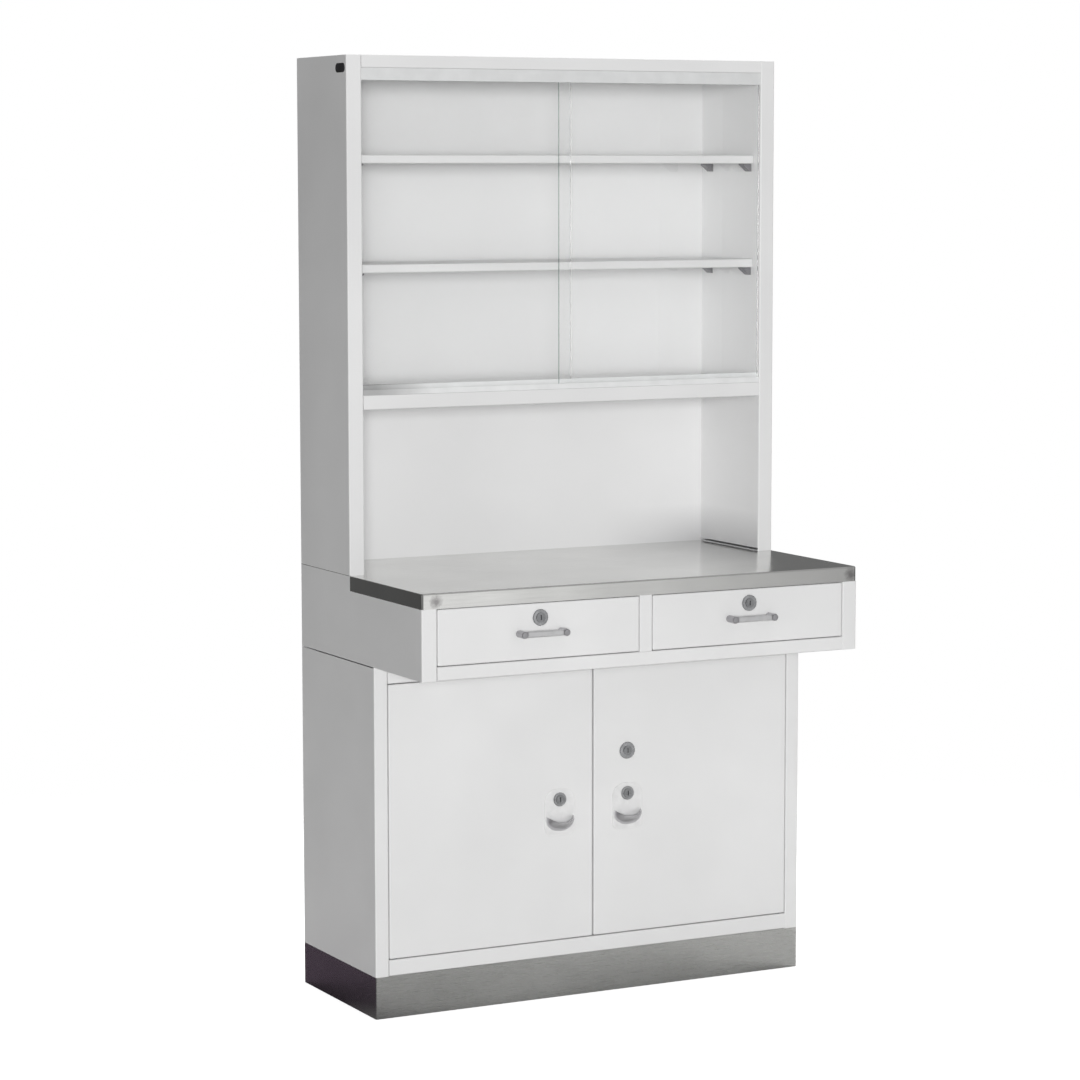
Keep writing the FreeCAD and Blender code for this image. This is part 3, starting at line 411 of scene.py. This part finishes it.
def moulded_plastic(name, colours, rough, painted_shade_mask=None):
    """Injection-moulded plastic: even colour, a fine spark-eroded grain, and a painted dark grey
    shade where a mask for it is given.
    """
    cloud_mm, wear_mm, grain_mm, rough_spread = 30, 12, 0.7, 0.05
    material, tree, place = new_material(name)
    colour = blended(tree, stirred(tree, place, cloud_mm, 0.0, 1.0), *colours)
    if painted_shade_mask:
        colour = blended(tree, painted_shade_mask(tree, place), colour, GROOVE_SHADE_GREY)
    finish_material(tree, {
        "Base Color": colour, "IOR": 1.48,
        "Roughness": stirred(tree, place, wear_mm, rough - rough_spread, rough + rough_spread),
        "Normal": bump(tree, noise(tree, place, grain_mm, 2.0), 0.04, 0.4)})
    return material


def particle_board():
    """Pressed wood chips a few millimetres long, pale and dark, on the board's raw faces."""
    chip_mm, dull_mm = 3.5, 5
    material, tree, place = new_material("particle_board")
    chips = add_node(tree, "ShaderNodeTexVoronoi", {"Vector": place, "Scale": per(chip_mm)})
    finish_material(tree, {
        "Base Color": blended(tree, chips.outputs["Distance"], *CHIPS),
        "Roughness": stirred(tree, place, dull_mm, 0.7, 0.85)})
    return material


def smoothed(node_name, body, material):
    """Smooth-shaded twin of a CAD node: its triangles are joined at their shared corners, and only
    edges that turn by more than the sharp angle stay crisp."""
    join_distance, sharp_angle = 0.01 * MM, math.radians(35.0)
    mesh = NODES[node_name].data.copy()
    mesh.materials.clear()
    mesh.materials.append(material)
    bm = bmesh.new()
    bm.from_mesh(mesh)
    bmesh.ops.remove_doubles(bm, verts=bm.verts, dist=join_distance)
    bmesh.ops.recalc_face_normals(bm, faces=bm.faces)
    for face in bm.faces:
        face.smooth = True
        face.material_index = 0
    for edge in bm.edges:
        edge.smooth = edge.is_manifold and edge.calc_face_angle() < sharp_angle
    bm.to_mesh(mesh)
    bm.free()
    piece = bpy.data.objects.new(node_name + "_finished", mesh)
    bpy.context.scene.collection.objects.link(piece)
    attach(piece, body)
    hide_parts(node_name)
    return piece


def paint(material, *node_names):
    """Gives CAD nodes this material and no other."""
    for name in node_names:
        slots = NODES[name].data.materials
        slots.clear()
        slots.append(material)


class CabinetFinishSettings(bpy.types.PropertyGroup):
    enamel_light: bpy.props.StringProperty(
        name="Enamel", description="Main colour of the baked enamel, as sRGB hex",
        default="#E3E3E3")
    enamel_dark: bpy.props.StringProperty(
        name="Enamel shade", description="Slightly greyer patches of the enamel",
        default="#DDDDDD")
    # Painted light: a lighter white for the glazed case's inner walls.
    enamel_painted_light: bpy.props.StringProperty(
        name="Enamel inside", description="Cleaner white inside the glazed case",
        default="#F0F0F0")
    glass_tint: bpy.props.StringProperty(
        name="Glass", description="Tint of the panes seen face on", default="#FBFEFD")
    glass_edge: bpy.props.StringProperty(
        name="Glass edge", description="Tint of the panes' ground edges", default="#7F958D")


class CabinetStageSettings(bpy.types.PropertyGroup):
    lens: bpy.props.FloatProperty(
        name="Lens", description="Focal length of the camera in millimetres", default=111.88,
        min=20.0)
    camera_place: bpy.props.FloatVectorProperty(
        name="Camera", description="Place of the camera", default=(-2.9458, -5.5140, 1.5394),
        subtype="TRANSLATION", unit="LENGTH")
    camera_turn: bpy.props.FloatVectorProperty(
        name="Camera turn", description="Rotation of the camera",
        default=(math.radians(83.743), math.radians(0.066), math.radians(-27.423)),
        subtype="EULER")
    floor_radius: bpy.props.FloatProperty(
        name="Floor", description="Radius of the pale floor", default=9.0, unit="LENGTH")
    room_left: bpy.props.FloatProperty(
        name="Room left", description="Brightness of the room on the left", default=0.03)
    room_front: bpy.props.FloatProperty(
        name="Room front", description="Brightness of the room in front", default=0.3)
    room_above: bpy.props.FloatProperty(
        name="Room above", description="Brightness of the room above", default=0.45)
    room_patch: bpy.props.FloatProperty(
        name="Pale patch", description="Brightness of the patch that bright metal mirrors",
        default=0.87)
    room_behind: bpy.props.FloatProperty(
        name="Room behind", description="Brightness of the room behind", default=0.17)
    room_sides: bpy.props.FloatProperty(
        name="Room sides", description="Brightness of the pale walls left and right that the "
        "worktop mirrors when it is seen from the side", default=0.35)
    main_power: bpy.props.FloatProperty(
        name="Main soft box", description="Power of the soft box at the front left",
        default=890.0, unit="POWER")
    side_power: bpy.props.FloatProperty(
        name="Side soft box", description="Power of the soft box on the left", default=30.0,
        unit="POWER")
    back_power: bpy.props.FloatProperty(
        name="Back soft box", description="Power of the soft box behind on the right",
        default=210.0, unit="POWER")
    top_power: bpy.props.FloatProperty(
        name="Top soft box", description="Power of the soft box above", default=90.0,
        unit="POWER")


class CABINET_OT_enamel(bpy.types.Operator):
    """Gives the folded sheets, doors, drawers and shelves their baked enamel"""
    bl_idname = "cabinet.enamel"
    bl_label = "Enamelled sheets"

    def execute(self, context):
        settings = context.scene.cabinet_finish
        colours, painted_light_white = (settings.enamel_light, settings.enamel_dark), settings.enamel_painted_light
        paint(baked_enamel("white_baked_enamel", colours), *SHEET_NODES)
        # Painted light on the glazed case's inner walls and back, painted shade at the foot of the
        # niche's right corner.
        paint(baked_enamel("white_baked_enamel_case_sides", colours, painted_light_white),
              "upper_side_left", "upper_side_right")
        paint(baked_enamel("white_baked_enamel_case_back", CASE_BACK_PAINTED_LIGHT, painted_light_white), "upper_back")
        return {"FINISHED"}


class CABINET_OT_stainless(bpy.types.Operator):
    """Gives the worktop and the plinth their stainless finish"""
    bl_idname = "cabinet.stainless"
    bl_label = "Stainless worktop and plinth"

    def execute(self, context):
        top = satin_stainless("satin_stainless_worktop", WORKTOP_STEEL, (0.13, 0.25), tinted=True)
        foot = satin_stainless("satin_stainless_plinth", PLINTH_STEEL, (0.22, 0.36))
        for node, material in (("worktop_skin", top), ("plinth_skirt", foot)):
            paint(material, node)
            smoothed(node, "cabinet", material)
        paint(particle_board(), "worktop_board")
        return {"FINISHED"}


class CABINET_OT_glazing(bpy.types.Operator):
    """Gives the panes, their tracks, the shelf clips and the side plugs their finishes"""
    bl_idname = "cabinet.glazing"
    bl_label = "Glazing"

    def execute(self, context):
        settings = context.scene.cabinet_finish
        paint(float_glass("clear_float_glass_left", settings, far_edge_and_shade=0.1), "left_glass_door")
        # Painted shade: this pane's right-facing edge is darker, standing in for the shadow between
        # the pane and the stile.
        paint(float_glass("clear_float_glass_right", settings, far_edge_and_shade=0.6), "right_glass_door")
        paint(moulded_plastic("pale_grey_moulded_track", TOP_TRACK, rough=0.4), "glass_track_top")
        # Painted shade at the left end of the bottom track's groove.
        track_with_painted_shade = moulded_plastic("pale_grey_moulded_track_dusty", BOTTOM_TRACK, rough=0.4,
                                painted_shade_mask=groove_painted_shade)
        paint(track_with_painted_shade, "glass_track_bottom")
        paint(moulded_plastic("grey_moulded_clip", CLIP_GREY, rough=0.5), "shelf_clips")
        paint(moulded_plastic("dark_moulded_plug", PLUG_BLACK, rough=0.55), "side_plugs")
        return {"FINISHED"}


class CABINET_OT_fittings(bpy.types.Operator):
    """Gives the locks, pulls, pins, bolts and runners their plating"""
    bl_idname = "cabinet.fittings"
    bl_label = "Locks and pulls"

    def execute(self, context):
        case = plated_chrome("bright_chrome_lock_case", LOCK_CASE_CHROME)
        core = plated_chrome("bright_chrome_lock_plug", LOCK_PLUG_CHROME)
        # Painted shade: the cups and the bar posts are darker grey than the plates and bars.
        cups = pearl_chrome("pearl_chrome_cup_pull", cup_stands_out, CUP_PEARL, CUP_PAINTED_SHADE,
                            sheen=0.3)
        bars = pearl_chrome("pearl_chrome_bar_pull", posts_of_bar, BAR_PEARL, BAR_PAINTED_SHADE,
                            sheen=0.7)
        zinc = zinc_plate()
        for lock, carrier in LOCKS.items():
            paint(case, lock + "_case")
            smoothed(lock + "_case", carrier, case)
            paint(core, lock + "_core")
            smoothed(lock + "_core", lock, core)
            paint(zinc, lock + "_cam")
        for pull, carrier in PULLS.items():
            finish = cups if "cup" in pull else bars
            paint(finish, pull)
            smoothed(pull, carrier, finish)
        paint(zinc, "drawer_runners", "module_bolts", "hinge_pins")
        return {"FINISHED"}


class CABINET_OT_stage(bpy.types.Operator):
    """Sets the camera, the pale floor and the soft room light"""
    bl_idname = "cabinet.stage"
    bl_label = "Stage"

    def execute(self, context):
        settings = context.scene.cabinet_stage
        self.camera(context.scene, settings)
        self.floor(context.scene, settings)
        self.room_light(context.scene, settings)
        for name, (place, power) in SOFT_BOXES.items():
            self.soft_box(context.scene, name, place, getattr(settings, power))
        return {"FINISHED"}

    def camera(self, scene, settings):
        data = bpy.data.cameras.new("camera")
        data.lens = settings.lens
        data.sensor_width = SENSOR_WIDTH_MM
        data.clip_end = CAMERA_REACH
        camera = bpy.data.objects.new("camera", data)
        camera.location = settings.camera_place
        camera.rotation_euler = Euler(settings.camera_turn)
        scene.collection.objects.link(camera)
        scene.camera = camera

    def floor(self, scene, settings):
        bm = bmesh.new()
        bmesh.ops.create_circle(bm, cap_ends=True, segments=FLOOR_SEGMENTS,
                                radius=settings.floor_radius)
        mesh = bpy.data.meshes.new("floor")
        bm.to_mesh(mesh)
        bm.free()
        floor = bpy.data.objects.new("floor", mesh)
        scene.collection.objects.link(floor)
        mesh.materials.append(self.pale_floor())

    def pale_floor(self):
        """Pale studio floor that fades into the white surroundings; what it throws back is dimmer,
        and in reflections it falls off to dark behind the cabinet's left."""
        fade_start, fade_end, glow = 0.6, 2.4, 0.72
        away_from_left, dark_until, pale_from = (0.75, -0.66, 0.0), -0.42, -0.16
        material, tree, place = new_material("pale_studio_floor")
        ray = add_node(tree, "ShaderNodeLightPath").outputs
        fade = ramp(tree, vector_maths(tree, "LENGTH", place), fade_start, fade_end,
                    interpolation_type="SMOOTHSTEP")
        along = vector_maths(tree, "DOT_PRODUCT", place, away_from_left)
        mirrored = blended(tree, ramp(tree, along, dark_until, pale_from), *MIRRORED_FLOOR)
        thrown = blended(tree, ray["Is Camera Ray"], THROWN_FLOOR, SEEN_FLOOR)
        principled = add_node(tree, "ShaderNodeBsdfPrincipled", {
            "Base Color": blended(tree, ray["Is Glossy Ray"], thrown, mirrored),
            "Roughness": 0.8, "Emission Color": linear(WHITE),
            "Emission Strength": product(tree, ray["Is Camera Ray"], glow)})
        clear = add_node(tree, "ShaderNodeBsdfTransparent")
        mix = add_node(tree, "ShaderNodeMixShader", {
            0: fade, 1: principled.outputs["BSDF"], 2: clear.outputs["BSDF"]})
        add_node(tree, "ShaderNodeOutputMaterial", {"Surface": mix.outputs["Shader"]})
        return material

    def room_light(self, scene, settings):
        """A white room: soft light from the front, above and behind, a pale patch at the front that
        the bright metal mirrors, and pale walls left and right."""
        world = bpy.data.worlds.new("soft_room")
        world.use_nodes = True
        tree = world.node_tree
        tree.nodes.clear()
        way = add_node(tree, "ShaderNodeTexCoord").outputs["Generated"]
        total = 0.0
        for towards, brightness, sharpness in ROOM_LOBES:
            facing = maths(tree, "MAXIMUM", vector_maths(tree, "DOT_PRODUCT", way, towards), 0.0)
            lobe = product(tree, maths(tree, "POWER", facing, sharpness),
                           getattr(settings, brightness))
            total = maths(tree, "ADD", total, lobe)
        lit = add_node(tree, "ShaderNodeBackground", {"Color": linear(WHITE), "Strength": total})
        seen = add_node(tree, "ShaderNodeBackground", {"Color": linear(WHITE), "Strength": 1.0})
        ray = add_node(tree, "ShaderNodeLightPath")
        mix = add_node(tree, "ShaderNodeMixShader", {
            0: ray.outputs["Is Camera Ray"], 1: lit.outputs["Background"],
            2: seen.outputs["Background"]})
        add_node(tree, "ShaderNodeOutputWorld", {"Surface": mix.outputs["Shader"]})
        scene.world = world
        scene.view_settings.view_transform = "Standard"
        scene.view_settings.look = "None"

    def soft_box(self, scene, name, place, power):
        """Round soft box that faces the middle of the cabinet."""
        data = bpy.data.lights.new(name, "AREA")
        data.shape = "DISK"
        data.size = SOFT_BOX_WIDTH
        data.energy = power
        data.color = (1.0, 1.0, 1.0)
        lamp = bpy.data.objects.new(name, data)
        lamp.visible_glossy = False
        lamp.location = place
        way = Vector(SOFT_BOX_TARGET) - Vector(place)
        lamp.rotation_euler = way.to_track_quat("-Z", "Y").to_euler()
        scene.collection.objects.link(lamp)


class CABINET_PT_panel(bpy.types.Panel):
    bl_idname = "CABINET_PT_panel"
    bl_label = "Medical cabinet"
    bl_space_type = "VIEW_3D"
    bl_region_type = "UI"
    bl_category = "Cabinet"

    def draw(self, context):
        for group in (context.scene.cabinet_finish, context.scene.cabinet_stage):
            for name in group.__annotations__:
                self.layout.prop(group, name)
        for operator in OPERATORS:
            self.layout.operator(operator.bl_idname)


OPERATORS = (CABINET_OT_enamel, CABINET_OT_stainless, CABINET_OT_glazing, CABINET_OT_fittings,
             CABINET_OT_stage)
GROUPS = {"cabinet_finish": CabinetFinishSettings, "cabinet_stage": CabinetStageSettings}


def register():
    for name, group in GROUPS.items():
        bpy.utils.register_class(group)
        setattr(bpy.types.Scene, name, bpy.props.PointerProperty(type=group))
    for operator in OPERATORS:
        bpy.utils.register_class(operator)
    bpy.utils.register_class(CABINET_PT_panel)


def unregister():
    bpy.utils.unregister_class(CABINET_PT_panel)
    for operator in reversed(OPERATORS):
        bpy.utils.unregister_class(operator)
    for name, group in GROUPS.items():
        delattr(bpy.types.Scene, name)
        bpy.utils.unregister_class(group)


def main():
    register()
    bpy.ops.cabinet.enamel()
    bpy.ops.cabinet.stainless()
    bpy.ops.cabinet.glazing()
    bpy.ops.cabinet.fittings()
    bpy.ops.cabinet.stage()


if __name__ == "__main__":
    main()
